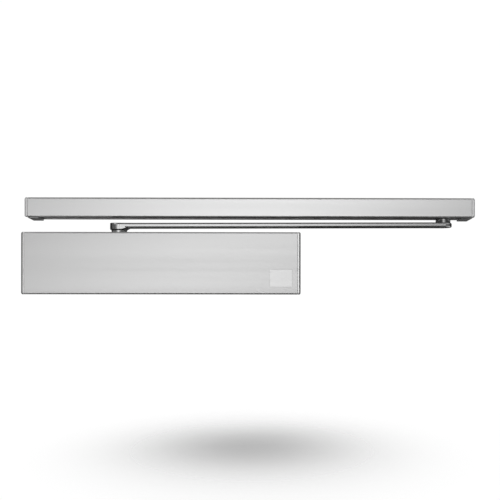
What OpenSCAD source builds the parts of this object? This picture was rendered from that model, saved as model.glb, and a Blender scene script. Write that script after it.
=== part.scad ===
// Overhead door closer: cam-driven closer body, slide arm and guide rail.
//
// Frame: origin at the centre of the mounting plate's door face, +X along the
// body, -Y away from the door, +Z up. Sizes in millimetres. The model stands
// as with the door shut: the arm lies under the rail and the slide block is
// near the rail's right end. The body goes on the door, the rail on the frame.

/* [Closer body] */
// Length of the body over its end covers
body_len = 275; // [275:1:290]
// Height of the cover
cover_h = 61.5; // [61:0.5:64]
// Depth from the door to the front of the cover
cover_d = 52; // [52:0.5:55]
// Wall of the cover
cover_wall = 1.5; // [1.2:0.1:1.5]
// Thickness of each end cover
end_t = 3; // [2:0.5:5]
// Distance of the spindle to the left of the body's centre
spindle_off = 46; // [44:0.5:47]

/* [Mounting plate] */
// Thickness of the mounting plate
plate_t = 4; // [3:0.5:4]
// Distance between the door screws along the plate
door_hole_dx = 240; // [236:1:244]
// Distance between the door screws up the plate
door_hole_dz = 30; // [26:1:32]
// Radius of the door screw holes
door_hole_r = 2.75; // [2.5:0.05:3]

/* [Cam drive] */
// Distance of the spring-side roller from the spindle with the door shut
cam_base = 14; // [14:0.05:14.4]
// Piston travel for each radian the spindle turns
cam_lift = 3.75; // [3.5:0.05:3.9]
// Radius of both rollers
roller_r = 6.5; // [6.3:0.05:6.6]

/* [Springs] */
// Wire radius of the closing spring
spring_wire = 3; // [2.5:0.1:3.2]
// Radius of the closing spring at the middle of its wire
spring_mean = 14.3; // [13.8:0.1:14.6]
// Turns in the closing spring
spring_turns = 9.5; // [8:0.5:10.5]

/* [Arm] */
// Distance between the spindle and the slide block along the body
arm_reach = 333.5; // [320:0.5:345]
// Width of the arm
arm_w = 17.6; // [16:0.2:18]
// Thickness of the arm
arm_t = 4.8; // [4.4:0.1:4.8]

/* [Guide rail] */
// Length of the rail over its end caps
rail_len = 458; // [440:1:470]
// Height of the rail
rail_h = 19.8; // [19:0.2:22]
// Depth of the rail from the frame
rail_d = 30; // [30:0.5:32]
// Wall of the rail
rail_wall = 2; // [1.8:0.1:2]
// Height of the rail's underside above the body's middle
rail_z = 47.9; // [47.5:0.1:52]
// Width of the slot under the rail
slot_w = 12; // [12:0.1:12.4]
// Distance of the frame screws from the rail's ends
frame_hole_in = 9; // [9:0.1:9.4]

/* [Hidden] */
$fn = 64;

// --- body
body_x = body_len / 2;              // outer face of the end covers
cover_x = body_x - end_t;           // ends of the cover profile
case_x = body_x - 6.5;              // ends of the housing and plate
case_h = 56;
case_front = -(cover_d - 2.6);      // front face of the housing
clip_reach = cover_h / 2 - cover_wall - 0.05; // the clips' noses grip the cover
cover_gap = 0.6;                    // the cover stands just off the door
sx = -spindle_off;                  // spindle
ay = -26.7;                         // cylinder and spindle axis
notch_r = 11;                       // opening in the cover round the spindle
bore_r = 19;
plug_r = 20;
plug_in = case_x - 12;              // inner face of the end plugs

// --- mounting plate and body screws
case_hole_x = case_x - 23;
case_hole_z = 22.5;

// --- cam: each roller rides on a profile whose pitch radius grows evenly
// from the notch to the tip, so the two pistons keep one fixed distance
cam_half = 6;
fit = 0.06;                         // running gap between cam and rollers
sp_roller_x = sx + cam_base + fit;
dp_roller_x = sx - cam_base - cam_lift * PI - fit;

// --- pistons
piston_r = bore_r - 0.05;
slot_half = cam_half + 0.3;
flat_half = 13.3;
sp_tip = sp_roller_x - 5;           // spring piston: tips of its cheeks
sp_floor = sp_roller_x + 7.54;      // floor of its roller slot
sp_face = sp_roller_x + 33.94;      // face the closing spring pushes on
sp_seat = sp_floor + 5.2;           // seat of its check ball
sp_recess = sp_face - 14;
dp_tip = dp_roller_x + 5;
dp_floor = dp_roller_x - 7.36;
dp_face = dp_floor - 20.8;
dp_seat = dp_face + 7;
ball_r = 2.5;
ball_hole = 1.2;
ball_off = sqrt(ball_r * ball_r - ball_hole * ball_hole) + 0.01;

// --- closing spring seat and its screw
seat_x = plug_in - 21;
return_wire = 1;
return_mean = 12;

// --- hydraulic valves: [x, z]
valve_z = 20.5;
closing_at = [sx - 46, valve_z];
latching_at = [sx - 32, valve_z];
backcheck_at = [sx + 58, valve_z];
delayed_at = [sx - 46, -valve_z];
duct_y = -37;

// --- arm
pivot_x = sx + arm_reach;
pivot_y = -rail_d / 2;
arm_len = sqrt(arm_reach * arm_reach + (pivot_y - ay) * (pivot_y - ay));
arm_ang = atan2(pivot_y - ay, arm_reach);
arm_top = 41.4;                     // top of the arm over the spindle
arm_end_top = rail_z - 4.4;         // top of the arm at the slide block
arm_under = arm_top - arm_t;        // underside of the arm over the spindle
hub_bottom = 31.2;
square_w = 9.5;
square_r = 6.2;

// --- rail
rail_x1 = pivot_x + 29;             // outer faces of the end caps
rail_x0 = rail_x1 - rail_len;
cap_t = 3;
rail_top = rail_z + rail_h;
cav_z0 = rail_z + rail_wall;
cav_z1 = rail_top - rail_wall;
rail_mid = (cav_z0 + cav_z1) / 2;
edge_r = 1.2;                       // rounding of the rail's lower edges
top_r = 1.9;                        // rounding of the rail's upper edges
foot_drop = 1.4;
foot_len = 11;
hole_x0 = rail_x0 + frame_hole_in;
hole_x1 = rail_x1 - frame_hole_in;
frame_hole_r = 2.6;
grub_off = 3.2;
grub_y = -25;

// ---------------------------------------------------------------- helpers

module slab(x, y, z)
    translate([x[0], y[0], z[0]])
        cube([x[1] - x[0], y[1] - y[0], z[1] - z[0]]);

module rod_x(x0, x1, r, y = ay, z = 0)
    translate([x0, y, z]) rotate([0, 90, 0]) cylinder(r = r, h = x1 - x0);

module rod_y(y0, y1, r, x = 0, z = 0)
    translate([x, y1, z]) rotate([90, 0, 0]) cylinder(r = r, h = y1 - y0);

module rod_z(z0, z1, r, x = 0, y = 0)
    translate([x, y, z0]) cylinder(r = r, h = z1 - z0);

// A ring of round section about an axis along X
module ring_x(x, major, minor, y = ay)
    translate([x, y, 0]) rotate([0, 90, 0])
        rotate_extrude() translate([major, 0]) circle(minor);

module extrude_x(x0, x1)
    translate([x0, 0, 0]) rotate([90, 0, 90]) linear_extrude(x1 - x0)
        children();

module at_spindle() translate([sx, ay, 0]) children();

module at_pivot() translate([pivot_x, pivot_y, 0]) children();

module round_rect(w, h, r) {
    square([w - 2 * r, h], center = true);
    square([w, h - 2 * r], center = true);
    for (i = [-1, 1], j = [-1, 1])
        translate([i * (w / 2 - r), j * (h / 2 - r)]) circle(r);
}

// Outline in Y and Z with its two front corners rounded
module front_round(y0, y1, h, r) {
    translate([y0 + r, -h / 2]) square([y1 - y0 - r, h]);
    translate([y0, -h / 2 + r]) square([2 * r, h - 2 * r]);
    for (s = [-1, 1]) translate([y0 + r, s * (h / 2 - r)]) circle(r);
}

// Hexagon socket cutter, across flats af
module hex_hole(af, h) cylinder(r = af / 2 / cos(30), h = h, $fn = 6);

// Square with its corners turned off, as milled on a round spindle
module turned_square(w, r, z0, z1)
    intersection() {
        translate([-w / 2, -w / 2, z0]) cube([w, w, z1 - z0]);
        rod_z(z0, z1, r);
    }

// ---------------------------------------------------- plate and housing

module mounting_plate()
    color([0.62, 0.63, 0.64])
    difference() {
        rotate([90, 0, 0]) linear_extrude(plate_t)
            round_rect(2 * case_x, case_h, 3);
        for (i = [-1, 1], j = [-1, 1]) {
            // tapped holes for the body screws
            rod_y(-plate_t - 1, 1, 2.5, i * case_hole_x, j * case_hole_z);
            // countersunk holes for the door screws
            translate([i * door_hole_dx / 2, 0, j * door_hole_dz / 2]) {
                rod_y(-plate_t - 1, 1, door_hole_r);
                translate([0, -plate_t + 2.45, 0]) rotate([90, 0, 0])
                    cylinder(r1 = door_hole_r, r2 = door_hole_r + 3.45, h = 3.45);
            }
        }
        // lightening windows
        for (i = [-1, 1])
            translate([i * 55, 1, 0]) rotate([90, 0, 0])
                linear_extrude(plate_t + 2) round_rect(40, 24, 4);
    }

module duct(x0, x1, s) {
    rod_x(x0, x1, 1.5, duct_y, s * valve_z);
    for (x = [x0 + 1.6, x1 - 1.6])
        if (s > 0) rod_z(14, valve_z, 1.2, x, duct_y);
        else rod_z(-valve_z, -14, 1.2, x, duct_y);
}

module housing()
    color([0.58, 0.58, 0.57])
    difference() {
        union() {
            difference() {
                extrude_x(-case_x, case_x)
                    front_round(case_front, -plate_t, case_h, 4);
                rod_x(-case_x - 1, case_x + 1, bore_r);
                // room for the cam, closed above by the bearing cap
                at_spindle() rod_z(-7.5, 15, 19.6);
                at_spindle() rod_z(14.2, case_h / 2 + 1, 21);
            }
            // boss that carries the lower bearing
            at_spindle() rod_z(-19.4, -14.2, 11);
        }
        at_spindle() rod_z(-case_h / 2 - 1, -14, 9);
        // threads of the end plugs
        for (s = [-1, 1])
            rod_x(s > 0 ? plug_in : -case_x - 1,
                  s > 0 ? case_x + 1 : -plug_in, plug_r);
        // keyway of the spring seat
        slab([seat_x - 13, plug_in + 1], [ay + 15, ay + 20.5], [-2, 2]);
        // body screws
        for (i = [-1, 1], j = [-1, 1]) {
            rod_y(-41.5, 0, 2.65, i * case_hole_x, j * case_hole_z);
            rod_y(case_front - 1, -41, 4.6, i * case_hole_x, j * case_hole_z);
        }
        // valve bores: the needle bores stop at the ducts
        for (p = [closing_at, latching_at, backcheck_at, delayed_at]) {
            rod_y(-41.5, -36, 1.5, p[0], p[1]);
            rod_y(case_front - 1, -41, 3.5, p[0], p[1]);
        }
        duct(sx - 68, sx - 24, 1);
        duct(sx + 25, sx + 77, 1);
        duct(sx - 60, sx - 25, -1);
    }

module housing_screws()
    color([0.35, 0.35, 0.36])
    for (i = [-1, 1], j = [-1, 1])
        translate([i * case_hole_x, 0, j * case_hole_z])
            difference() {
                union() {
                    rod_y(-41.5, -0.8, 2.45);
                    rod_y(-46, -41.02, 4.25);
                }
                translate([0, -43.4, 0]) rotate([90, 0, 0]) hex_hole(4, 4);
            }

// Threaded plug with a seal groove, built for the right-hand end
module plug_blank()
    difference() {
        rod_x(plug_in, case_x, plug_r - 0.05);
        difference() {
            rod_x(plug_in + 1.4, plug_in + 3.6, plug_r + 1);
            rod_x(plug_in + 1, plug_in + 4, plug_r - 2);
        }
        for (s = [-1, 1])
            rod_x(case_x - 5, case_x + 1, 2, ay, s * 13);
    }

module spring_end_plug()
    color([0.66, 0.66, 0.66])
    difference() {
        plug_blank();
        rod_x(plug_in - 1, case_x + 1, 5);
        rod_x(plug_in + 5.3, plug_in + 6.7, 6.3);
    }

module damping_end_plug()
    color([0.66, 0.66, 0.66])
    mirror([1, 0, 0]) plug_blank();

module housing_o_rings()
    color([0.06, 0.06, 0.06]) {
        for (s = [-1, 1]) ring_x(s * (plug_in + 2.5), plug_r - 1, 0.95);
        ring_x(plug_in + 6, 5.65, 0.6);
        at_spindle() translate([0, 0, 18.1])
            rotate_extrude() translate([20, 0]) circle(0.95);
    }

module top_bearing_cap()
    color([0.66, 0.66, 0.66])
    at_spindle()
    difference() {
        union() {
            rod_z(14.2, 26.7, 20.95);
            translate([0, 0, 26.7]) cylinder(r1 = 20.95, r2 = 20.15, h = 0.8);
        }
        rod_z(13, 29, 9);
        difference() {
            rod_z(17, 19.2, 23);
            rod_z(16, 20, 19);
        }
        for (a = [0 : 90 : 270]) rotate([0, 0, a + 45]) rod_z(23, 29, 1.6, 14.6);
    }

module upper_bearing_bush()
    color([0.74, 0.60, 0.30])
    at_spindle()
    difference() {
        rod_z(14.4, 22, 8.98);
        rod_z(13, 23, 7.05);
    }

module upper_shaft_seal()
    color([0.06, 0.06, 0.06])
    at_spindle()
    rotate_extrude()
        polygon([[7.1, 22.5], [8.98, 22.5], [8.98, 27], [7.8, 27], [7.8, 25.6],
                 [7.1, 24.6]]);

module lower_bearing_bush()
    color([0.74, 0.60, 0.30])
    at_spindle()
    difference() {
        rod_z(-22.5, -14.4, 8.98);
        rod_z(-23, -13, 7.05);
    }

module lower_shaft_seal()
    color([0.06, 0.06, 0.06])
    at_spindle()
    rotate_extrude()
        polygon([[7.1, -22.8], [7.1, -24.9], [7.8, -25.9], [7.8, -27.2],
                 [8.98, -27.2], [8.98, -22.8]]);

// ------------------------------------------------------- spindle and cam

// Point of the cam edge where the roller's centre stands at angle a (radians)
function cam_point(a) =
    let (r = cam_base + cam_lift * a, q = sqrt(r * r + cam_lift * cam_lift),
         d = a * 180 / PI, c = cos(d), s = sin(d))
    [r * c - roller_r * (r * c + cam_lift * s) / q,
     r * s - roller_r * (r * s - cam_lift * c) / q];

cam_steps = 72;
cam_notch = atan2(cam_lift, cam_base);
// half outline from the notch's floor to the tip, on the +Y side
cam_side = concat(
    [for (i = [1 : 6]) let (f = 180 - cam_notch * i / 6)
        [cam_base + roller_r * cos(f), roller_r * sin(f)]],
    [for (i = [1 : cam_steps]) let (p = cam_point(PI * i / cam_steps))
        if (p[1] > 0.05) p]);
cam_outline = concat([[cam_base - roller_r, 0]], cam_side,
    [for (i = [len(cam_side) - 1 : -1 : 0]) [cam_side[i][0], -cam_side[i][1]]]);

module cam_spindle()
    color([0.55, 0.56, 0.57])
    at_spindle()
    difference() {
        union() {
            rod_z(-25.8, 26.8, 7);
            // collars that stand the cam off the bearings
            rod_z(-14, -cam_half, 8.2);
            rod_z(cam_half, 14, 8.2);
            translate([0, 0, -cam_half]) linear_extrude(2 * cam_half)
                polygon(cam_outline);
            rotate([0, 0, arm_ang]) {
                turned_square(square_w, square_r, -28.3, -25.7);
                turned_square(square_w, square_r, 26.7, arm_top - 3.6);
            }
        }
        rod_z(26.4, 39, 3);
        rod_z(-29, -20, 3);
    }

module spindle_cap()
    color([0.16, 0.16, 0.17])
    at_spindle() {
        translate([0, 0, 0.2 - cover_h / 2])
            cylinder(r1 = 8.9, r2 = 9.5, h = 0.6);
        rod_z(0.8 - cover_h / 2, -28.8, 9.5);
        rod_z(-29, -24, 2.9);
    }

// --------------------------------------------------------------- pistons

module spring_piston()
    color([0.60, 0.60, 0.61])
    difference() {
        intersection() {
            rod_x(sp_tip, sp_face, piston_r);
            union() {
                slab([sp_tip - 1, sp_floor], [-60, 0], [-flat_half, flat_half]);
                slab([sp_floor - 0.1, sp_face + 1], [-60, 0], [-25, 25]);
            }
        }
        slab([sp_tip - 1, sp_floor], [-60, 0], [-slot_half, slot_half]);
        rod_z(-15, 15, 3.02, sp_roller_x, ay);
        rod_x(sp_recess, sp_face + 1, 10);
        rod_x(sp_floor - 1, sp_seat + 1, ball_hole);
        rod_x(sp_seat, sp_recess + 1, 2.9);
        for (x = [sp_face - 4, sp_face - 9])
            difference() {
                rod_x(x, x + 1.4, piston_r + 1);
                rod_x(x - 1, x + 3, piston_r - 1);
            }
    }

module damping_piston()
    color([0.60, 0.60, 0.61])
    difference() {
        intersection() {
            rod_x(dp_face, dp_tip, piston_r);
            union() {
                slab([dp_floor, dp_tip + 1], [-60, 0], [-flat_half, flat_half]);
                slab([dp_face - 1, dp_floor + 0.1], [-60, 0], [-25, 25]);
            }
        }
        slab([dp_floor, dp_tip + 1], [-60, 0], [-slot_half, slot_half]);
        rod_z(-15, 15, 3.02, dp_roller_x, ay);
        rod_x(dp_seat - 1, dp_floor + 1, ball_hole);
        rod_x(dp_face - 1, dp_seat, 2.9);
        for (x = [dp_face + 3, dp_face + 8])
            difference() {
                rod_x(x, x + 1.4, piston_r + 1);
                rod_x(x - 1, x + 3, piston_r - 1);
            }
    }

module roller_pin(x) rod_z(-12.9, 12.9, 3, x, ay);

module roller(x)
    translate([x, ay, 0])
    difference() {
        rod_z(-5.5, 5.5, roller_r);
        rod_z(-6, 6, 3.05);
    }

module spring_roller_pin() color([0.45, 0.46, 0.48]) roller_pin(sp_roller_x);
module damping_roller_pin() color([0.45, 0.46, 0.48]) roller_pin(dp_roller_x);
module spring_roller() color([0.70, 0.71, 0.72]) roller(sp_roller_x);
module damping_roller() color([0.70, 0.71, 0.72]) roller(dp_roller_x);

module spring_check_ball()
    color([0.75, 0.76, 0.78])
    translate([sp_seat + ball_off, ay, 0]) sphere(r = ball_r);

module damping_check_ball()
    color([0.75, 0.76, 0.78])
    translate([dp_seat - ball_off, ay, 0]) sphere(r = ball_r);

module retainer(x0, x1)
    difference() {
        rod_x(x0, x1, 2.88);
        rod_x(x0 - 1, x1 + 1, 1.5);
    }

module spring_valve_retainer()
    color([0.74, 0.60, 0.30]) retainer(sp_recess - 1.5, sp_recess - 0.3);

module damping_valve_retainer()
    color([0.74, 0.60, 0.30]) retainer(dp_face + 0.2, dp_face + 1.3);

// --------------------------------------------------------------- springs

// Distance of the wire's middle along the spring after t turns, with one
// closed turn at each end
function coil_x(t, n, len, closed) =
    let (p = (len - 2 * closed) / (n - 2))
    t < 1 ? closed * t
    : t < n - 1 ? closed + (t - 1) * p
    : closed + (n - 2) * p + (t - n + 1) * closed;

// Helical wire about the cylinder axis from x0 to x1
module coil_spring(x0, x1, mean, wire, n, per_turn, sides) {
    rings = round(n * per_turn);
    pts = [for (i = [0 : rings], k = [0 : sides - 1])
        let (t = n * i / rings, a = 360 * t, b = 360 * k / sides,
             m = mean + wire * cos(b))
        [x0 + wire + coil_x(t, n, x1 - x0 - 2 * wire, 2 * wire + 0.15)
            + wire * sin(b),
         ay + m * cos(a), m * sin(a)]];
    walls = [for (i = [0 : rings - 1], k = [0 : sides - 1], h = [0, 1])
        let (k2 = (k + 1) % sides, p = i * sides, q = (i + 1) * sides)
        h == 0 ? [p + k, q + k, q + k2] : [p + k, q + k2, p + k2]];
    ends = concat([[for (k = [0 : sides - 1]) k]],
        [[for (k = [sides - 1 : -1 : 0]) rings * sides + k]]);
    polyhedron(points = pts, faces = concat(walls, ends));
}

module closing_spring()
    color([0.30, 0.31, 0.33])
    coil_spring(sp_face + 0.1, seat_x - 0.1, spring_mean, spring_wire,
                spring_turns, 20, 8);

module return_spring()
    color([0.62, 0.63, 0.65])
    coil_spring(-plug_in + 0.1, dp_face - 0.1, return_mean, return_wire,
                5, 20, 6);

module spring_seat()
    color([0.50, 0.51, 0.52])
    difference() {
        union() {
            rod_x(seat_x, seat_x + 6, 18.6);
            rod_x(seat_x + 5, seat_x + 12, 8);
            slab([seat_x, seat_x + 6], [ay + 17, ay + 20.2], [-1.8, 1.8]);
        }
        rod_x(seat_x - 1, seat_x + 13, 4.5);
    }

module power_adjusting_screw()
    color([0.45, 0.46, 0.48])
    difference() {
        union() {
            rod_x(seat_x - 12, plug_in - 2, 4.45);
            rod_x(plug_in - 2.5, plug_in - 0.05, 7);
            rod_x(plug_in - 0.5, case_x - 1, 4.95);
        }
        translate([case_x - 7, ay, 0]) rotate([0, 90, 0]) hex_hole(5, 8);
    }

// ---------------------------------------------------------------- valves

module regulating_valve(p)
    color([0.72, 0.62, 0.36])
    translate([p[0], 0, p[1]])
    difference() {
        union() {
            rod_y(case_front + 0.1, -41.1, 3.45);
            rod_y(-42, -38.2, 1.4);
            translate([0, -37.5, 0]) rotate([90, 0, 0])
                cylinder(r1 = 0.7, r2 = 1.4, h = 0.7);
        }
        // groove of the seal ring
        difference() {
            rod_y(-46.9, -45.5, 5);
            rod_y(-48, -44, 2.6);
        }
        // screwdriver slot
        slab([-5, 5], [case_front - 1, case_front + 1.4], [-0.4, 0.4]);
    }

module closing_speed_valve() regulating_valve(closing_at);
module latching_speed_valve() regulating_valve(latching_at);
module backcheck_valve() regulating_valve(backcheck_at);
module delayed_action_valve() regulating_valve(delayed_at);

module valve_o_rings()
    color([0.06, 0.06, 0.06])
    for (p = [closing_at, latching_at, backcheck_at, delayed_at])
        translate([p[0], -46.2, p[1]]) rotate([90, 0, 0])
            rotate_extrude() translate([3.06, 0]) circle(0.42);

// ----------------------------------------------------------------- cover

// Spring strip bent round the housing; its ridges hold the cover's flanges
module cover_clips()
    color([0.55, 0.56, 0.58])
    for (i = [-1, 1])
        extrude_x(i * (case_x - 10) - 5, i * (case_x - 10) + 5)
        difference() {
            union() {
                translate([case_front - 0.6, -case_h / 2 - 0.6])
                    square([34, case_h + 1.2]);
                for (s = [-1, 1])
                    polygon([[-24, s * case_h / 2], [-22, s * clip_reach],
                             [-20, s * clip_reach], [-18, s * case_h / 2]]);
            }
            translate([case_front - 0.02, -case_h / 2 - 0.02])
                square([60, case_h + 0.04]);
        }

module cover()
    color([0.80, 0.80, 0.79])
    difference() {
        extrude_x(-cover_x, cover_x)
            front_round(-cover_d, -cover_gap, cover_h, 1.5);
        slab([-cover_x - 1, cover_x + 1], [-cover_d + cover_wall, 1],
             [-cover_h / 2 + cover_wall, cover_h / 2 - cover_wall]);
        // the notches let the cover pass the spindle as it goes on
        at_spindle() {
            rod_z(-40, 40, notch_r);
            slab([-notch_r, notch_r], [0, 40], [-40, 40]);
        }
    }

module end_cover() {
    extrude_x(cover_x, body_x)
        front_round(-cover_d, -cover_gap, cover_h, 1.5);
    w = cover_h / 2 - cover_wall - 0.1;
    difference() {
        slab([cover_x - 1.5, cover_x + 0.5], [-cover_d + cover_wall + 0.1, -3],
             [-w, w]);
        slab([cover_x - 3, cover_x + 1], [-cover_d + cover_wall + 1.6, 0],
             [-w + 1.5, w - 1.5]);
    }
}

module end_cover_right() color([0.83, 0.83, 0.82]) end_cover();
module end_cover_left() color([0.83, 0.83, 0.82]) mirror([1, 0, 0]) end_cover();

module badge_plate()
    color([0.88, 0.88, 0.88])
    translate([118.15, -cover_d, -14.8]) rotate([90, 0, 0])
        linear_extrude(0.4) round_rect(21.9, 17, 0.8);

// ------------------------------------------------------------------- arm

module at_arm() at_spindle() rotate([0, 0, arm_ang]) children();

module slide_arm()
    color([0.78, 0.78, 0.78])
    at_arm()
    difference() {
        union() {
            intersection() {
                translate([0, 0, 30]) linear_extrude(30) {
                    translate([0, -arm_w / 2]) square([arm_len, arm_w]);
                    circle(9.2);
                    translate([arm_len, 0]) circle(arm_w / 2);
                }
                union() {
                    // side outline: level at both ends, rising between them
                    rotate([90, 0, 0]) translate([0, 0, -15])
                        linear_extrude(30)
                        polygon([[-20, arm_under],
                                 [16, arm_under],
                                 [arm_len - 14, arm_end_top - arm_t],
                                 [arm_len + 20, arm_end_top - arm_t],
                                 [arm_len + 20, arm_end_top],
                                 [arm_len - 14, arm_end_top],
                                 [16, arm_top], [-20, arm_top]]);
                    // flare from the hub into the arm's underside
                    translate([0, 0, arm_under - 1.4])
                        cylinder(r1 = 9.2, r2 = 13, h = 1.8);
                    translate([0, 0, arm_under - 2.6])
                        cylinder(r1 = 7.7, r2 = 9.2, h = 1.2);
                }
            }
            rod_z(hub_bottom, 35, 7.7);
        }
        turned_square(square_w + 0.1, square_r + 0.05, hub_bottom - 1, arm_top - 3.4);
        rod_z(arm_top - 4, arm_top + 1, 3.3);
        translate([0, 0, arm_top - 2.9]) cylinder(r1 = 3.3, r2 = 7.2, h = 3.9);
        rod_z(30, 60, 4.02, arm_len);
    }

module arm_screw()
    color([0.40, 0.41, 0.43])
    at_arm()
    difference() {
        union() {
            rod_z(28, arm_top - 2.8, 2.95);
            translate([0, 0, arm_top - 2.9]) cylinder(r1 = 3.1, r2 = 5.9, h = 2.8);
        }
        translate([0, 0, arm_top - 2.4]) hex_hole(4, 4);
    }

module pivot_bolt()
    color([0.72, 0.73, 0.74])
    at_pivot()
    difference() {
        union() {
            translate([0, 0, arm_end_top - arm_t + 0.1])
                cylinder(r1 = 3.4, r2 = 4, h = 0.6);
            rod_z(arm_end_top - arm_t + 0.7, cav_z0 + 6.1, 4);
            rod_z(cav_z0 + 6, cav_z0 + 8.4, 7);
            translate([0, 0, cav_z0 + 8.4]) cylinder(r1 = 7, r2 = 6.4, h = 0.6);
        }
        translate([0, 0, cav_z0 + 6.6]) hex_hole(5, 4);
    }

module pivot_collar()
    color([0.12, 0.12, 0.13])
    at_pivot()
    difference() {
        union() {
            rod_z(arm_end_top, rail_z - 0.7, 7.5);
            translate([0, 0, rail_z - 0.7]) cylinder(r1 = 7.5, r2 = 7.1, h = 0.4);
        }
        rod_z(arm_end_top - 1, rail_z + 1, 4.02);
    }

module slide_block()
    color([0.13, 0.13, 0.14])
    at_pivot()
    difference() {
        union() {
            translate([0, 0, cav_z0 + 0.1]) linear_extrude(9)
                round_rect(24, rail_d - 2 * rail_wall - 0.6, 2);
            rod_z(rail_z - 0.2, cav_z0 + 0.5, 5.6);
        }
        rod_z(rail_z - 1, cav_z0 + 7, 5.02);
        rod_z(cav_z0 + 5.9, cav_z0 + 12, 7.3);
    }

module slide_bush()
    color([0.74, 0.60, 0.30])
    at_pivot()
    difference() {
        rod_z(rail_z - 0.15, cav_z0 + 5.85, 5);
        rod_z(rail_z - 1, cav_z0 + 7, 4.05);
    }

// ------------------------------------------------------------------ rail

// Outline of the rail and its caps in Y and Z
module rail_outline()
    translate([-rail_d / 2, rail_z + rail_h / 2])
    intersection() {
        translate([0, 2]) round_rect(rail_d, rail_h + 4, edge_r);
        translate([0, -2]) round_rect(rail_d, rail_h + 4, top_r);
    }

module guide_rail()
    color([0.84, 0.84, 0.83])
    difference() {
        extrude_x(rail_x0 + cap_t, rail_x1 - cap_t)
        difference() {
            rail_outline();
            translate([-rail_d + rail_wall, cav_z0])
                square([rail_d - 2 * rail_wall, rail_h - 2 * rail_wall]);
            translate([pivot_y - slot_w / 2, rail_z - 1])
                square([slot_w, rail_wall + 2]);
        }
        // the back is open over each bracket, so the rail goes on from in front
        slab([rail_x0, hole_x0 + 6.2], [-rail_wall - 1, 1],
             [cav_z0 + 0.1, cav_z1 - 0.1]);
        slab([hole_x1 - 6.2, rail_x1], [-rail_wall - 1, 1],
             [cav_z0 + 0.1, cav_z1 - 0.1]);
        for (x = [hole_x0 + grub_off, hole_x1 - grub_off])
            rod_z(rail_z - 1, cav_z0 + 1, 1.6, x, grub_y);
    }

// Frame bracket of the right-hand end; its screw hole is at x = 0
module rail_bracket()
    difference() {
        slab([-6, frame_hole_in - cap_t - 0.2], [-rail_d + rail_wall + 0.2, 0],
             [cav_z0 + 0.2, cav_z1 - 0.2]);
        rod_y(-rail_d, 1, frame_hole_r, 0, rail_mid);
        rod_y(-rail_d, -5, 4.4, 0, rail_mid);
        rod_z(cav_z0 - 1, cav_z0 + 3.5, 1.55, -grub_off, grub_y);
        for (y = [-24, -6]) rod_x(frame_hole_in - 7.2, 10, 1.15, y, cav_z1 - 1.9);
    }

module rail_bracket_right()
    color([0.50, 0.51, 0.52]) translate([hole_x1, 0, 0]) rail_bracket();

module rail_bracket_left()
    color([0.50, 0.51, 0.52])
    translate([hole_x0, 0, 0]) mirror([1, 0, 0]) rail_bracket();

module bracket_screws()
    color([0.25, 0.25, 0.26])
    for (x = [hole_x0 + grub_off, hole_x1 - grub_off])
        translate([x, grub_y, 0])
            difference() {
                rod_z(rail_z + 0.1, cav_z0 + 3.2, 1.5);
                translate([0, 0, rail_z - 1]) hex_hole(1.5, 2.6);
            }

// End cap of the right-hand end; its foot is under the rear half of the rail
module rail_end_cap() {
    x1 = rail_x1;
    extrude_x(x1 - cap_t, x1) rail_outline();
    // foot under the rail, deeper towards the wall
    extrude_x(x1 - foot_len, x1 - 0.6)
        polygon([[-22, rail_z], [-22, rail_z - 0.2],
                 [-1.6, rail_z - foot_drop], [-1.6, rail_z]]);
    extrude_x(x1 - cap_t, x1 - 0.6)
        polygon([[-22, rail_z + 1], [-22, rail_z - 0.2],
                 [-1.6, rail_z - foot_drop], [-1.6, rail_z + 1]]);
    for (y = [-24, -6])
        rod_x(x1 - cap_t - 3.8, x1 - cap_t + 0.5, 1.1, y, cav_z1 - 1.9);
}

module rail_end_cap_right() color([0.80, 0.80, 0.79]) rail_end_cap();
module rail_end_cap_left()
    color([0.80, 0.80, 0.79])
    translate([rail_x0 + rail_x1, 0, 0]) mirror([1, 0, 0]) rail_end_cap();

// ------------------------------------------------------------------- all

mounting_plate();
housing();
housing_screws();
spring_end_plug();
damping_end_plug();
housing_o_rings();
top_bearing_cap();
upper_bearing_bush();
upper_shaft_seal();
lower_bearing_bush();
lower_shaft_seal();
cam_spindle();
spring_piston();
spring_roller_pin();
spring_roller();
spring_check_ball();
spring_valve_retainer();
damping_piston();
damping_roller_pin();
damping_roller();
damping_check_ball();
damping_valve_retainer();
closing_spring();
return_spring();
spring_seat();
power_adjusting_screw();
closing_speed_valve();
latching_speed_valve();
backcheck_valve();
delayed_action_valve();
valve_o_rings();
cover_clips();
cover();
end_cover_left();
end_cover_right();
badge_plate();
spindle_cap();
slide_arm();
arm_screw();
pivot_bolt();
pivot_collar();
slide_block();
slide_bush();
guide_rail();
rail_end_cap_left();
rail_end_cap_right();
rail_bracket_left();
rail_bracket_right();
bracket_screws();
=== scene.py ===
"""Looks of an overhead door closer with a slide arm and a guide rail.

Everything is in metres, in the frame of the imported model: the origin is the
centre of the mounting plate's door face, +X runs along the body, -Y away from
the door, +Z up.
"""

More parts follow.
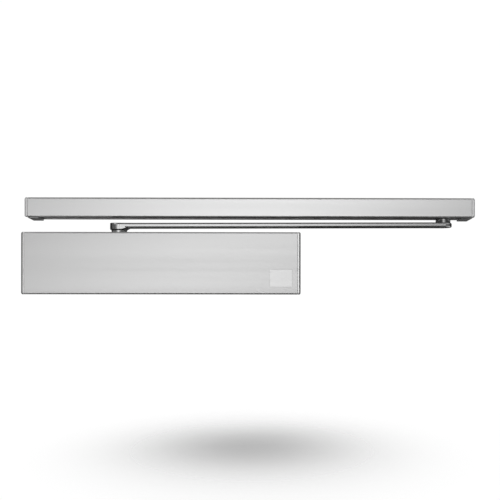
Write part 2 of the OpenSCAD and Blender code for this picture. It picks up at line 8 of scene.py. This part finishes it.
import math
import bmesh
import bpy
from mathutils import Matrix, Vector


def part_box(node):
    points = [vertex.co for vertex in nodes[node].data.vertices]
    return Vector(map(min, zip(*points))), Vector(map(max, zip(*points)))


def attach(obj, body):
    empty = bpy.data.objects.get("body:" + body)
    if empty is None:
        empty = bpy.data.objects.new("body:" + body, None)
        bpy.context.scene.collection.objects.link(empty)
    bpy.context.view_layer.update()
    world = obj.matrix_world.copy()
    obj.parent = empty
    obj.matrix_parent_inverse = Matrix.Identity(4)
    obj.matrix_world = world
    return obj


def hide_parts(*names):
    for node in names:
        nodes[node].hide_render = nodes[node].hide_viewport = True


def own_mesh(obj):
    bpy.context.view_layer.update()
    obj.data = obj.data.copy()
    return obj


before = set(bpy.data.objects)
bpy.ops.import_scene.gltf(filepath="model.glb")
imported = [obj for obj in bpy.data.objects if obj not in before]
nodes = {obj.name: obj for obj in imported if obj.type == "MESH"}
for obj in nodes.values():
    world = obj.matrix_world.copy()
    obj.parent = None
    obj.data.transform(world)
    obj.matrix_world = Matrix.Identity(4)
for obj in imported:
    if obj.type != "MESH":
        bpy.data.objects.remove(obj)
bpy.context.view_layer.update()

MM = 0.001


# ---------------------------------------------------------------- node helpers


class Tree:
    """A few short calls that add and join shader nodes."""

    def __init__(self, tree):
        self.tree = tree
        self.tree.nodes.clear()
        self.column = 0

    def add(self, kind, **values):
        node = self.tree.nodes.new(kind)
        node.location = (self.column * 180, 0)
        self.column += 1
        for key, value in values.items():
            setattr(node, key, value)
        return node

    def join(self, source, target):
        self.tree.links.new(source, target)

    def put(self, value, socket):
        if hasattr(value, "is_output"):
            self.join(value, socket)
        else:
            socket.default_value = value

    def math(self, operation, a, b=None, c=None, clamp=False):
        node = self.add("ShaderNodeMath", operation=operation, use_clamp=clamp)
        for value, socket in zip((a, b, c), node.inputs):
            if value is not None:
                self.put(value, socket)
        return node.outputs[0]

    def ramp(self, value, lo, hi, to_lo, to_hi, smooth=True):
        node = self.add(
            "ShaderNodeMapRange",
            interpolation_type="SMOOTHSTEP" if smooth else "LINEAR",
            clamp=True,
        )
        for v, name in (
            (value, "Value"),
            (lo, "From Min"),
            (hi, "From Max"),
            (to_lo, "To Min"),
            (to_hi, "To Max"),
        ):
            self.put(v, node.inputs[name])
        return node.outputs["Result"]

    def mix(self, factor, a, b, blend="MIX"):
        node = self.add("ShaderNodeMix", data_type="RGBA", blend_type=blend)
        self.put(factor, node.inputs[0])
        for value, socket in ((a, node.inputs[6]), (b, node.inputs[7])):
            if isinstance(value, tuple) and len(value) == 3:
                value = (*value, 1.0)
            self.put(value, socket)
        return node.outputs[2]

    def noise(self, coords, scale, detail=3.0, rough=0.55, stretch=None, shift=0.0):
        """Noise whose scale counts features in each metre, drawn out along an axis by stretch."""
        place = self.add("ShaderNodeMapping")
        place.inputs["Scale"].default_value = stretch or (1.0, 1.0, 1.0)
        place.inputs["Location"].default_value = (shift, shift * 0.7, shift * 1.3)
        self.join(coords, place.inputs["Vector"])
        node = self.add("ShaderNodeTexNoise", noise_dimensions="3D")
        node.inputs["Scale"].default_value = scale
        node.inputs["Detail"].default_value = detail
        node.inputs["Roughness"].default_value = rough
        self.join(place.outputs["Vector"], node.inputs["Vector"])
        return node.outputs["Fac"]


def new_material(name):
    old = bpy.data.materials.get(name)
    if old:
        old.name = name + "_cad"
    material = bpy.data.materials.new(name)
    material.use_nodes = True
    return material, Tree(material.node_tree)


def finish_material(
    t,
    colour,
    roughness,
    height=None,
    bump=0.0,
    distance=0.0002,
    metallic=0.0,
    specular=0.5,
    coat=0.0,
    coat_rough=0.1,
    ior=1.5,
    anisotropic=0.0,
    sheen=0.0,
):
    """The shader itself. Uniform numbers go straight on its sockets."""
    shader = t.add("ShaderNodeBsdfPrincipled")
    out = t.add("ShaderNodeOutputMaterial")
    t.put(colour, shader.inputs["Base Color"])
    t.put(roughness, shader.inputs["Roughness"])
    t.put(metallic, shader.inputs["Metallic"])
    shader.inputs["Specular IOR Level"].default_value = specular
    shader.inputs["IOR"].default_value = ior
    shader.inputs["Coat Weight"].default_value = coat
    shader.inputs["Coat Roughness"].default_value = coat_rough
    shader.inputs["Anisotropic"].default_value = anisotropic
    shader.inputs["Sheen Weight"].default_value = sheen
    if height is not None:
        node = t.add("ShaderNodeBump")
        node.inputs["Strength"].default_value = bump
        node.inputs["Distance"].default_value = distance
        t.join(height, node.inputs["Height"])
        t.join(node.outputs["Normal"], shader.inputs["Normal"])
    t.join(shader.outputs[0], out.inputs["Surface"])
    return shader


# ------------------------------------------------------------------- materials


def silver(
    name, tone, rough, metal, along=(0.02, 1.0, 1.0), grain=0.03, tint=(1.0, 1.0, 1.0), dark=()
):
    """Satin silver: very fine lines along the part, a sparkle of flake and faint clouding.

    The last argument lists bands across X, in metres, of painted shade that darkens the colour towards a
    part's end: an edge, the distances from it at which the shading starts and is full, is still full and
    ends, and the share of brightness that is left.
    """
    material, t = new_material(name)
    coords = t.add("ShaderNodeTexCoord").outputs["Object"]
    lines = t.noise(coords, 5200, 2.0, 0.6, along)
    flake = t.noise(coords, 9000, 1.0, 0.5, None, 3.1)
    cloud = t.noise(coords, 9, 3.0, 0.5, None, 7.7)
    wipe = t.noise(coords, 60, 4.0, 0.6, along, 1.9)
    shade = t.math("MULTIPLY_ADD", lines, grain, 1.0 - grain / 2)
    shade = t.math("MULTIPLY", shade, t.math("MULTIPLY_ADD", flake, grain * 0.8, 1.0 - grain * 0.4))
    shade = t.math("MULTIPLY", shade, t.math("MULTIPLY_ADD", cloud, 0.030, 0.985))
    if dark:
        split = t.add("ShaderNodeSeparateXYZ")
        t.join(coords, split.inputs[0])
    # Painted shade: each entry darkens the colour in a strip at its distance from an end edge.
    for edge, start, full, still, end, left in dark:
        off = t.math("ABSOLUTE", t.math("SUBTRACT", split.outputs[0], edge))
        painted_shade_band = t.math(
            "MULTIPLY", t.ramp(off, start, full, 0.0, 1.0), t.ramp(off, still, end, 1.0, 0.0)
        )
        shade = t.math("MULTIPLY", shade, t.math("MULTIPLY_ADD", painted_shade_band, left - 1.0, 1.0))
    base = t.mix(
        1.0,
        tuple(tone * c for c in tint),
        (1.0, 1.0, 1.0),
        "MULTIPLY",
    )
    scale = t.add("ShaderNodeVectorMath", operation="SCALE")
    t.join(base, scale.inputs[0])
    t.join(shade, scale.inputs["Scale"])
    roughness = t.math("MULTIPLY_ADD", wipe, 0.10, rough - 0.05)
    roughness = t.math("MULTIPLY_ADD", lines, 0.05, t.math("SUBTRACT", roughness, 0.025))
    height = t.math("MULTIPLY_ADD", flake, 0.5, lines)
    finish_material(
        t, scale.outputs[0], roughness, height, 0.06, 0.00004, metallic=metal, specular=0.5
    )
    return material


def machined(name, colour, rough, axis_stretch, metal=1.0, stain=0.10):
    """Bare metal with tool marks drawn round or along it and slight staining."""
    material, t = new_material(name)
    coords = t.add("ShaderNodeTexCoord").outputs["Object"]
    marks = t.noise(coords, 2600, 3.0, 0.6, axis_stretch)
    spots = t.noise(coords, 140, 4.0, 0.6, None, 2.3)
    dull = t.ramp(spots, 0.45, 0.75, 0.0, 1.0)
    base = t.mix(t.math("MULTIPLY", dull, stain * 3), colour, tuple(c * 0.72 for c in colour))
    base = t.mix(t.math("MULTIPLY", marks, 0.25), base, tuple(min(1, c * 1.18) for c in colour))
    roughness = t.math("MULTIPLY_ADD", marks, 0.16, rough - 0.08)
    roughness = t.math("MULTIPLY_ADD", dull, 0.10, roughness)
    finish_material(t, base, roughness, marks, 0.18, 0.00005, metallic=metal)
    return material


def cast(name, colour, rough):
    """Die-cast skin: a fine pebble, flow clouds and darker pores."""
    material, t = new_material(name)
    coords = t.add("ShaderNodeTexCoord").outputs["Object"]
    skin = t.noise(coords, 1500, 4.0, 0.65)
    flow = t.noise(coords, 45, 4.0, 0.55, (0.35, 1.0, 1.0), 4.2)
    cells = t.add("ShaderNodeTexVoronoi", feature="F1")
    cells.inputs["Scale"].default_value = 900
    t.join(coords, cells.inputs["Vector"])
    pores = t.ramp(cells.outputs["Distance"], 0.05, 0.22, 1.0, 0.0)
    base = t.mix(t.ramp(flow, 0.35, 0.70, 0.0, 1.0), colour, tuple(c * 0.86 for c in colour))
    base = t.mix(t.math("MULTIPLY", pores, 0.35), base, tuple(c * 0.45 for c in colour))
    roughness = t.math("MULTIPLY_ADD", skin, 0.22, rough - 0.10)
    height = t.math("SUBTRACT", skin, t.math("MULTIPLY", pores, 0.8))
    finish_material(t, base, roughness, height, 0.35, 0.00010, metallic=1.0)
    return material


def zinc(name):
    """Clear zinc plating: bluish silver with a fine crystal mottling and a trace of yellow."""
    material, t = new_material(name)
    coords = t.add("ShaderNodeTexCoord").outputs["Object"]
    cells = t.add("ShaderNodeTexVoronoi", feature="F1")
    cells.inputs["Scale"].default_value = 260
    t.join(coords, cells.inputs["Vector"])
    patch = t.add("ShaderNodeSeparateColor")
    t.join(cells.outputs["Color"], patch.inputs[0])
    haze = t.noise(coords, 22, 4.0, 0.6, None, 5.5)
    fine = t.noise(coords, 2200, 2.0, 0.6, (0.25, 1.0, 1.0), 1.1)
    base = t.mix(patch.outputs[0], (0.60, 0.62, 0.65), (0.70, 0.71, 0.73))
    base = t.mix(t.ramp(haze, 0.45, 0.8, 0.0, 0.5), base, (0.66, 0.64, 0.55))
    roughness = t.math("MULTIPLY_ADD", patch.outputs[1], 0.10, 0.28)
    roughness = t.math("MULTIPLY_ADD", fine, 0.08, roughness)
    finish_material(t, base, roughness, fine, 0.12, 0.00005, metallic=1.0)
    return material


def black_oxide(name, tone=1.0, rough=0.22):
    """Blackened steel: blue-black, slightly oily, with grey wear in its texture."""
    material, t = new_material(name)
    coords = t.add("ShaderNodeTexCoord").outputs["Object"]
    fine = t.noise(coords, 1900, 3.0, 0.6)
    rub = t.noise(coords, 320, 4.0, 0.65, None, 6.1)
    base = t.mix(t.ramp(rub, 0.50, 0.78, 0.0, 0.55), (0.075, 0.078, 0.085), (0.20, 0.20, 0.205))
    if tone != 1.0:
        base = t.mix(1.0, base, (tone, tone * 0.97, tone * 0.90), "MULTIPLY")
    roughness = t.math("MULTIPLY_ADD", fine, 0.12, rough)
    finish_material(t, base, roughness, fine, 0.14, 0.00006, metallic=0.85)
    return material


def moulded(name, colour, rough, pebble=0.25, metal=0.0, size=1300):
    """Moulded plastic with a fine spark-eroded texture and slight gloss variation."""
    material, t = new_material(name)
    coords = t.add("ShaderNodeTexCoord").outputs["Object"]
    skin = t.noise(coords, size, 3.0, 0.6)
    haze = t.noise(coords, 30, 3.0, 0.5, None, 8.4)
    base = t.mix(t.ramp(haze, 0.35, 0.70, 0.0, 1.0), colour, tuple(min(1, c * 1.10) for c in colour))
    base = t.mix(t.math("MULTIPLY", skin, 0.20), base, tuple(c * 0.88 for c in colour))
    roughness = t.math("MULTIPLY_ADD", skin, 0.12, rough - 0.06)
    roughness = t.math("MULTIPLY_ADD", haze, 0.06, roughness)
    finish_material(t, base, roughness, skin, pebble, 0.00006, metallic=metal)
    return material


MATERIALS = {
    "silver_cover": silver("silver_cover", 0.72, 0.32, 0.85),
    "silver_rail": silver("silver_rail", 0.81, 0.30, 0.88),
    "silver_arm": silver("silver_arm", 0.56, 0.25, 0.95, (0.03, 1.0, 1.0), 0.02),
    "silver_plastic": silver("silver_plastic", 0.90, 0.34, 0.88, (1.0, 1.0, 1.0), 0.02),
    "badge_silver": silver("badge_silver", 0.90, 0.30, 0.60, (0.05, 1.0, 1.0), 0.02),
    "cast_aluminium": cast("cast_aluminium", (0.60, 0.61, 0.62), 0.46),
    "zinc_plate": zinc("zinc_plate"),
    "turned_steel": machined("turned_steel", (0.58, 0.58, 0.59), 0.30, (1.0, 0.15, 0.15)),
    "hard_steel": machined("hard_steel", (0.52, 0.525, 0.54), 0.24, (0.2, 0.2, 1.0)),
    "spring_steel": machined("spring_steel", (0.34, 0.345, 0.36), 0.36, (0.3, 1.0, 1.0), 0.95, 0.2),
    "black_steel": black_oxide("black_steel"),
    "bronze": machined("bronze", (0.56, 0.38, 0.20), 0.34, (1.0, 1.0, 0.2), 1.0, 0.2),
    "valve_brass": machined("valve_brass", (0.72, 0.56, 0.27), 0.26, (1.0, 0.2, 1.0), 1.0, 0.12),
    "black_rubber": moulded("black_rubber", (0.020, 0.020, 0.021), 0.62, 0.30),
    "black_plastic": moulded("black_plastic", (0.022, 0.022, 0.024), 0.34, 0.10),
}
# How far from a part's outer end the painted shade on the end covers and rail end caps reaches, on each
# side.
PAINTED_SHADE_REACH = {"left": (0.00005, 0.0002, 0.0018, 0.0021), "right": (0.00005, 0.0002, 0.0014, 0.0018)}


def outer_x(name, side):
    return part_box(name)[0 if side == "left" else 1][0]


OWN = {"pivot_collar": black_oxide("collar_steel", 3.2, 0.14)}
for side in ("left", "right"):
    # Painted shade on the rail end caps is deeper on the left end than on the right. The end covers keep
    # 0.34 of their colour in it.
    cap_painted_shade_keep = 0.80 if side == "left" else 0.97
    for part, tone, left in (("end_cover_", 0.98, 0.34), ("rail_end_cap_", 0.90, cap_painted_shade_keep)):
        OWN[part + side] = silver(
            part + side, tone, 0.34, 0.88, (1.0, 1.0, 1.0), 0.02,
            dark=((outer_x(part + side, side), *PAINTED_SHADE_REACH[side], left),),
        )
# Painted shade on the arm's rounded ends, which keep 0.12 of their colour within a few millimetres of
# each end.
OWN["slide_arm"] = silver(
    "arm_finish", 0.56, 0.25, 0.95, (0.03, 1.0, 1.0), 0.02,
    dark=[(outer_x("slide_arm", side), -0.001, 0.0, 0.0026, 0.0042, 0.12) for side in ("left", "right")],
)
for name, node in nodes.items():
    for slot in node.material_slots:
        old = slot.material.name.split(".")[0].replace("_cad", "")
        slot.material = OWN.get(name, MATERIALS[old])


# ----------------------------------------------------------------- fine edges


def soften(name, width, segments, where, angle=25, weld=2e-6, level=0.8):
    """Rounds chosen sharp edges of a carried-over part, in modifiers only.

    where(t, x, y, z) gives a shader-like expression, from 0 to 1 of the width, at an edge's
    middle, in millimetres.
    """
    o = nodes[name]
    join = o.modifiers.new("weld", "WELD")
    join.merge_threshold = weld
    flat = o.modifiers.new("flat", "DECIMATE")
    flat.decimate_type = "DISSOLVE"
    flat.angle_limit = math.radians(level)
    flat.delimit = set()

    group = bpy.data.node_groups.new("edges_" + name, "GeometryNodeTree")
    group.interface.new_socket("Geometry", in_out="INPUT", socket_type="NodeSocketGeometry")
    group.interface.new_socket("Geometry", in_out="OUTPUT", socket_type="NodeSocketGeometry")
    t = Tree(group)
    shape = t.add("NodeGroupInput").outputs[0]
    bare = t.add("GeometryNodeRemoveAttribute")
    bare.inputs["Name"].default_value = "custom_normal"
    t.join(shape, bare.inputs["Geometry"])
    smooth = t.add("GeometryNodeSetShadeSmooth", domain="FACE")
    t.join(bare.outputs[0], smooth.inputs["Geometry"])
    bend = t.add("GeometryNodeInputMeshEdgeAngle").outputs["Unsigned Angle"]
    sharp = t.math("GREATER_THAN", bend, math.radians(angle))
    rest = t.add("GeometryNodeSetShadeSmooth", domain="EDGE")
    t.join(smooth.outputs[0], rest.inputs["Geometry"])
    t.join(t.math("LESS_THAN", sharp, 0.5), rest.inputs["Shade Smooth"])
    split = t.add("ShaderNodeSeparateXYZ")
    t.join(t.add("GeometryNodeInputPosition").outputs[0], split.inputs[0])
    x, y, z = (t.math("MULTIPLY", split.outputs[k], 1000.0) for k in "XYZ")
    keep = t.add("GeometryNodeStoreNamedAttribute", data_type="FLOAT", domain="EDGE")
    keep.inputs["Name"].default_value = "bevel_weight_edge"
    t.join(rest.outputs[0], keep.inputs["Geometry"])
    t.join(t.math("MULTIPLY", sharp, where(t, x, y, z)), keep.inputs["Value"])
    t.join(keep.outputs[0], t.add("NodeGroupOutput").inputs[0])
    choose = o.modifiers.new("choose", "NODES")
    choose.node_group = group

    bevel = o.modifiers.new("bevel", "BEVEL")
    bevel.width = width * MM
    bevel.segments = segments
    bevel.limit_method = "WEIGHT"
    bevel.use_clamp_overlap = False
    bevel.harden_normals = True
    bevel.miter_outer = "MITER_ARC"
    normals = o.modifiers.new("normals", "WEIGHTED_NORMAL")
    normals.mode = "FACE_AREA"
    normals.weight = 50
    normals.keep_sharp = True
    return o


def over(t, value, limit):
    return t.math("GREATER_THAN", value, limit)


def under(t, value, limit):
    return t.math("LESS_THAN", value, limit)


def both(t, *parts):
    total = parts[0]
    for part in parts[1:]:
        total = t.math("MULTIPLY", total, part)
    return total


def either(t, *parts):
    total = parts[0]
    for part in parts[1:]:
        total = t.math("MAXIMUM", total, part)
    return total


def box_mm(name):
    lo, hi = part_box(name)
    return [v / MM for v in lo], [v / MM for v in hi]


RAIL_LO, RAIL_HI = box_mm("guide_rail")
COVER_LO, COVER_HI = box_mm("cover")
ARM_LO, ARM_HI = box_mm("slide_arm")
SPINDLE = box_mm("cam_spindle")
SPINDLE = [(SPINDLE[0][k] + SPINDLE[1][k]) / 2 for k in range(2)]
PIVOT = box_mm("pivot_bolt")
PIVOT = [(PIVOT[0][k] + PIVOT[1][k]) / 2 for k in range(2)]


def joint_edges(where):
    """Edges on the planes X = the given numbers, where two visible parts meet."""

    def chosen(t, x, y, z):
        near = [
            under(t, t.math("ABSOLUTE", t.math("SUBTRACT", x, edge)), 0.05) for edge in where
        ]
        return either(t, *near)

    return chosen


def arm_edges(t, x, y, z):
    """The rims of the arm's upper and lower faces, but not the hub's foot."""
    dx, dy = PIVOT[0] - SPINDLE[0], PIVOT[1] - SPINDLE[1]
    length = math.hypot(dx, dy)
    ux, uy = dx / length, dy / length
    px, py = t.math("SUBTRACT", x, SPINDLE[0]), t.math("SUBTRACT", y, SPINDLE[1])
    along = t.math("MULTIPLY_ADD", px, ux, t.math("MULTIPLY", py, uy))
    across = t.math("MULTIPLY_ADD", py, ux, t.math("MULTIPLY", px, -uy))
    beyond = t.math("MAXIMUM", t.math("MULTIPLY", along, -1.0), t.math("SUBTRACT", along, length))
    beyond = t.math("MAXIMUM", beyond, 0.0)
    away = t.math("SQRT", t.math("MULTIPLY_ADD", beyond, beyond, t.math("MULTIPLY", across, across)))
    rim = over(t, away, 8.3)
    high = over(t, z, (ARM_HI[2] + ARM_LO[2]) / 2 + 2.0)
    low = t.math("MULTIPLY", both(t, over(t, along, 14.0), over(t, z, ARM_LO[2] + 2.0)), 0.8)
    return both(t, rim, either(t, high, low))


def end_edges(name, side, outer, inner, joint):
    """An end part's outer rim, and in a smaller width the rim that meets its neighbour."""
    k = 0 if side == "left" else 1
    edge = box_mm(name)[k][0]

    def chosen(t, x, y, z):
        rim = under(t, t.math("ABSOLUTE", t.math("SUBTRACT", x, edge)), 0.1)
        seam = under(t, t.math("ABSOLUTE", t.math("SUBTRACT", x, joint[k])), 0.05)
        return t.math("MAXIMUM", rim, t.math("MULTIPLY", seam, inner / outer))

    soften(name, outer, 5, chosen)


def everywhere(t, x, y, z):
    return t.math("ADD", 1.0, 0.0)


soften("guide_rail", 0.45, 2, joint_edges((RAIL_LO[0], RAIL_HI[0])))
soften("cover", 0.3, 2, joint_edges((COVER_LO[0], COVER_HI[0])))
soften("slide_arm", 1.6, 6, arm_edges, level=0.2)
for side in ("left", "right"):
    end_edges("end_cover_" + side, side, 1.45, 0.3, (COVER_LO[0], COVER_HI[0]))
    end_edges("rail_end_cap_" + side, side, 1.15, 0.45, (RAIL_LO[0], RAIL_HI[0]))
soften("badge_plate", 0.12, 2, everywhere)


def half_spring(name, low):
    """One half of the closing spring, cut at its middle, with its open end filled, and hung on the
    closer body.
    """
    lo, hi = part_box("closing_spring")
    middle = (lo[0] + hi[0]) / 2
    bm = bmesh.new()
    bm.from_mesh(nodes["closing_spring"].data)
    bmesh.ops.remove_doubles(bm, verts=bm.verts, dist=2e-6)
    bmesh.ops.bisect_plane(
        bm,
        geom=bm.verts[:] + bm.edges[:] + bm.faces[:],
        plane_co=(middle, 0.0, 0.0),
        plane_no=(1.0, 0.0, 0.0),
        clear_outer=low,
        clear_inner=not low,
    )
    bmesh.ops.holes_fill(bm, edges=[e for e in bm.edges if e.is_boundary])
    for face in bm.faces:
        face.smooth = True
    for edge in bm.edges:
        edge.smooth = edge.calc_face_angle(0.0) < math.radians(35)
    mesh = bpy.data.meshes.new(name)
    bm.to_mesh(mesh)
    bm.free()
    mesh.materials.append(MATERIALS["spring_steel"])
    half = bpy.data.objects.new(name, mesh)
    bpy.context.scene.collection.objects.link(half)
    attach(half, "closer")
    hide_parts("closing_spring")
    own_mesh(half)


half_spring("closing_spring_piston_half", True)
half_spring("closing_spring_seat_half", False)


# ------------------------------------------------------------ floor and lights


def make_floor():
    """A round pale floor under the object that melts into the white round it. Its grey middle, fading
    outwards, is a painted soft shadow beneath the real one that the overhead lamp casts.
    """
    mesh = bpy.data.meshes.new("studio_floor")
    rim, rings = 96, [0.06, 0.12, 0.2, 0.3, 0.45]
    points = [(0.0, 0.0, 0.0)]
    for r in rings:
        points += [
            (r * math.cos(2 * math.pi * i / rim), r * math.sin(2 * math.pi * i / rim), 0.0)
            for i in range(rim)
        ]
    faces = [(0, 1 + i, 1 + (i + 1) % rim) for i in range(rim)]
    for k in range(len(rings) - 1):
        a, b = 1 + k * rim, 1 + (k + 1) * rim
        faces += [(a + i, b + i, b + (i + 1) % rim, a + (i + 1) % rim) for i in range(rim)]
    mesh.from_pydata(points, [], faces)
    floor = bpy.data.objects.new("studio_floor", mesh)
    bpy.context.scene.collection.objects.link(floor)
    floor.location = (*FLOOR_AT, FLOOR_Z)
    material, t = new_material("studio_floor")
    coords = t.add("ShaderNodeTexCoord").outputs["Object"]
    split = t.add("ShaderNodeSeparateXYZ")
    t.join(coords, split.inputs[0])
    fine = t.noise(coords, 400, 3.0, 0.6)
    # Painted shadow: the grey floor shows most in the middle and fades out round it, so it reads as a
    # soft shadow pool.
    u, v = (t.math("DIVIDE", split.outputs[k], PAINTED_SHADOW_FADE[k]) for k in range(2))
    share = t.math("MULTIPLY_ADD", u, u, t.math("MULTIPLY", v, v))
    seen = t.math("EXPONENT", t.math("MULTIPLY", share, -1.0))
    back = t.add("ShaderNodeNewGeometry").outputs["Backfacing"]
    seen = t.math("MULTIPLY", seen, t.math("SUBTRACT", 1.0, back))
    shader = t.add("ShaderNodeBsdfPrincipled")
    tones = [tuple(PAINTED_SHADOW_TONE * k for _ in range(3)) for k in (0.99, 1.01)]
    t.put(t.mix(fine, *tones), shader.inputs["Base Color"])
    shader.inputs["Roughness"].default_value = 0.9
    shader.inputs["Specular IOR Level"].default_value = 0.0
    clear = t.add("ShaderNodeBsdfTransparent")
    both = t.add("ShaderNodeMixShader")
    t.join(seen, both.inputs[0])
    t.join(clear.outputs[0], both.inputs[1])
    t.join(shader.outputs[0], both.inputs[2])
    out = t.add("ShaderNodeOutputMaterial")
    t.join(both.outputs[0], out.inputs["Surface"])
    mesh.materials.append(material)
    floor.visible_glossy = False
    floor.visible_diffuse = False
    return floor


def make_world():
    """White behind the object; in reflections one soft light in front and four soft corners."""
    world = bpy.data.worlds.new("studio")
    bpy.context.scene.world = world
    world.use_nodes = True
    t = Tree(world.node_tree)
    way = t.add("ShaderNodeTexCoord").outputs["Generated"]
    split = t.add("ShaderNodeSeparateXYZ")
    t.join(way, split.inputs[0])
    x, y, z = (split.outputs[k] for k in "XYZ")

    def bell(angle, centre, spread, steeper=1.0):
        share = t.math("SUBTRACT", angle, math.radians(centre))
        share = t.math("DIVIDE", share, math.radians(spread))
        if steeper != 1.0:
            left = t.math("MULTIPLY_ADD", t.math("LESS_THAN", share, 0.0), steeper - 1.0, 1.0)
            share = t.math("MULTIPLY", share, left)
        share = t.math("MULTIPLY", share, share)
        return t.math("EXPONENT", t.math("MULTIPLY", share, -1.0))

    azimuth = t.math("ARCTAN2", x, t.math("MULTIPLY", y, -1.0))
    height = t.math("ARCSINE", t.math("MULTIPLY", z, 0.99999))
    total = t.ramp(z, -0.10, 0.16, *SKY_LOW_HIGH)
    for centre, spread, level, rise, power, lean in FRONT_LIGHTS:
        turned = t.math("MULTIPLY_ADD", height, -lean, azimuth)
        light = t.math(
            "MULTIPLY", bell(turned, centre, spread, STEEPER), bell(height, level, rise)
        )
        total = t.math("ADD", total, t.math("MULTIPLY", light, power))
    aside = t.math("ARCTAN2", t.math("ABSOLUTE", x), t.math("ABSOLUTE", y))
    centre, spread, level, rise, power = SIDE_LIGHTS
    light = t.math("MULTIPLY", bell(aside, centre, spread), bell(height, level, rise))
    total = t.math("ADD", total, t.math("MULTIPLY", light, power))
    corner = t.math(
        "MULTIPLY",
        t.ramp(t.math("ABSOLUTE", x), CORNERS[0][0], CORNERS[0][1], 0.0, 1.0),
        t.ramp(t.math("ABSOLUTE", z), CORNERS[1][0], CORNERS[1][1], 0.0, 1.0),
    )
    corner = t.math("MULTIPLY", corner, t.ramp(z, -0.3, 0.3, CORNERS[2][0], CORNERS[2][1]))
    total = t.math("ADD", total, corner)
    lofty = t.math("MULTIPLY", t.ramp(z, *LOFT[0], 0.0, 1.0), t.ramp(y, *LOFT[1], *LOFT[2]))
    total = t.math("ADD", total, lofty)
    seen = t.add("ShaderNodeLightPath").outputs["Is Camera Ray"]
    strength = t.add("ShaderNodeMix", data_type="FLOAT")
    t.join(seen, strength.inputs[0])
    t.join(total, strength.inputs[2])
    strength.inputs[3].default_value = 1.02
    back = t.add("ShaderNodeBackground")
    back.inputs["Color"].default_value = (1.0, 1.0, 1.0, 1.0)
    t.join(strength.outputs[0], back.inputs["Strength"])
    out = t.add("ShaderNodeOutputWorld")
    t.join(back.outputs[0], out.inputs["Surface"])


def area_light(name, place, target, size, watts):
    light = bpy.data.lights.new(name, "AREA")
    light.shape = "RECTANGLE"
    light.size, light.size_y = size
    light.energy = watts
    o = bpy.data.objects.new(name, light)
    bpy.context.scene.collection.objects.link(o)
    o.location = place
    o.rotation_mode = "QUATERNION"
    o.rotation_quaternion = (Vector(target) - Vector(place)).to_track_quat("-Z", "Y")
    o.visible_camera = False
    return o


FLOOR_Z = -0.1857
# Where the painted shadow pool on the floor is centred, how far it spreads in X and Y, and its grey
# tone.
FLOOR_AT = (0.0895, -0.0285)
PAINTED_SHADOW_FADE = (0.120, 0.127)
PAINTED_SHADOW_TONE = 0.595
SKY_LOW_HIGH = (0.02, 0.06)
# azimuth, its spread, elevation, its spread, brightness, how far the light leans over
FRONT_LIGHTS = ((-7.5, 18.6, 3.0, 13.0, 2.0, 1.12),)
# how much faster it fades on its left
STEEPER = 1.05
# the same numbers, without the lean, of the low lights at both sides
SIDE_LIGHTS = (90.0, 24.0, -13.0, 9.0, 1.1)
# how far the soft corners keep from the middle in X and in Z, and how bright they are low and high
CORNERS = ((0.30, 0.62), (0.14, 0.42), (0.70, 1.20))
# a faint light high up: from what Z to what Z, from what Y to what Y behind, and how bright there
LOFT = ((0.35, 0.75), (0.0, 0.35), (0.10, 0.28))

floor = make_floor()
make_world()
overhead = area_light("overhead", (0.05, 0.02, 0.95), (0.08, -0.03, 0.0), (1.1, 1.0), 6.3)
lit = bpy.data.collections.new("floor_lighting")
bpy.context.scene.collection.children.link(lit)
lit.objects.link(floor)
overhead.light_linking.receiver_collection = lit


# -------------------------------------------------------------------- camera

camera_data = bpy.data.cameras.new("camera")
camera_data.sensor_width = 36.0
camera_data.lens = 50.532
camera_data.shift_x = -0.03617
camera_data.shift_y = 0.08141
camera_data.clip_start, camera_data.clip_end = 0.01, 50.0
camera = bpy.data.objects.new("camera", camera_data)
bpy.context.scene.collection.objects.link(camera)
camera.location = (0.09931, -0.74313, -0.02698)
camera.rotation_euler = (math.radians(90), math.radians(-0.063), math.radians(-0.504))
bpy.context.scene.camera = camera
bpy.context.scene.view_settings.view_transform = "Standard"
bpy.context.scene.view_settings.look = "None"
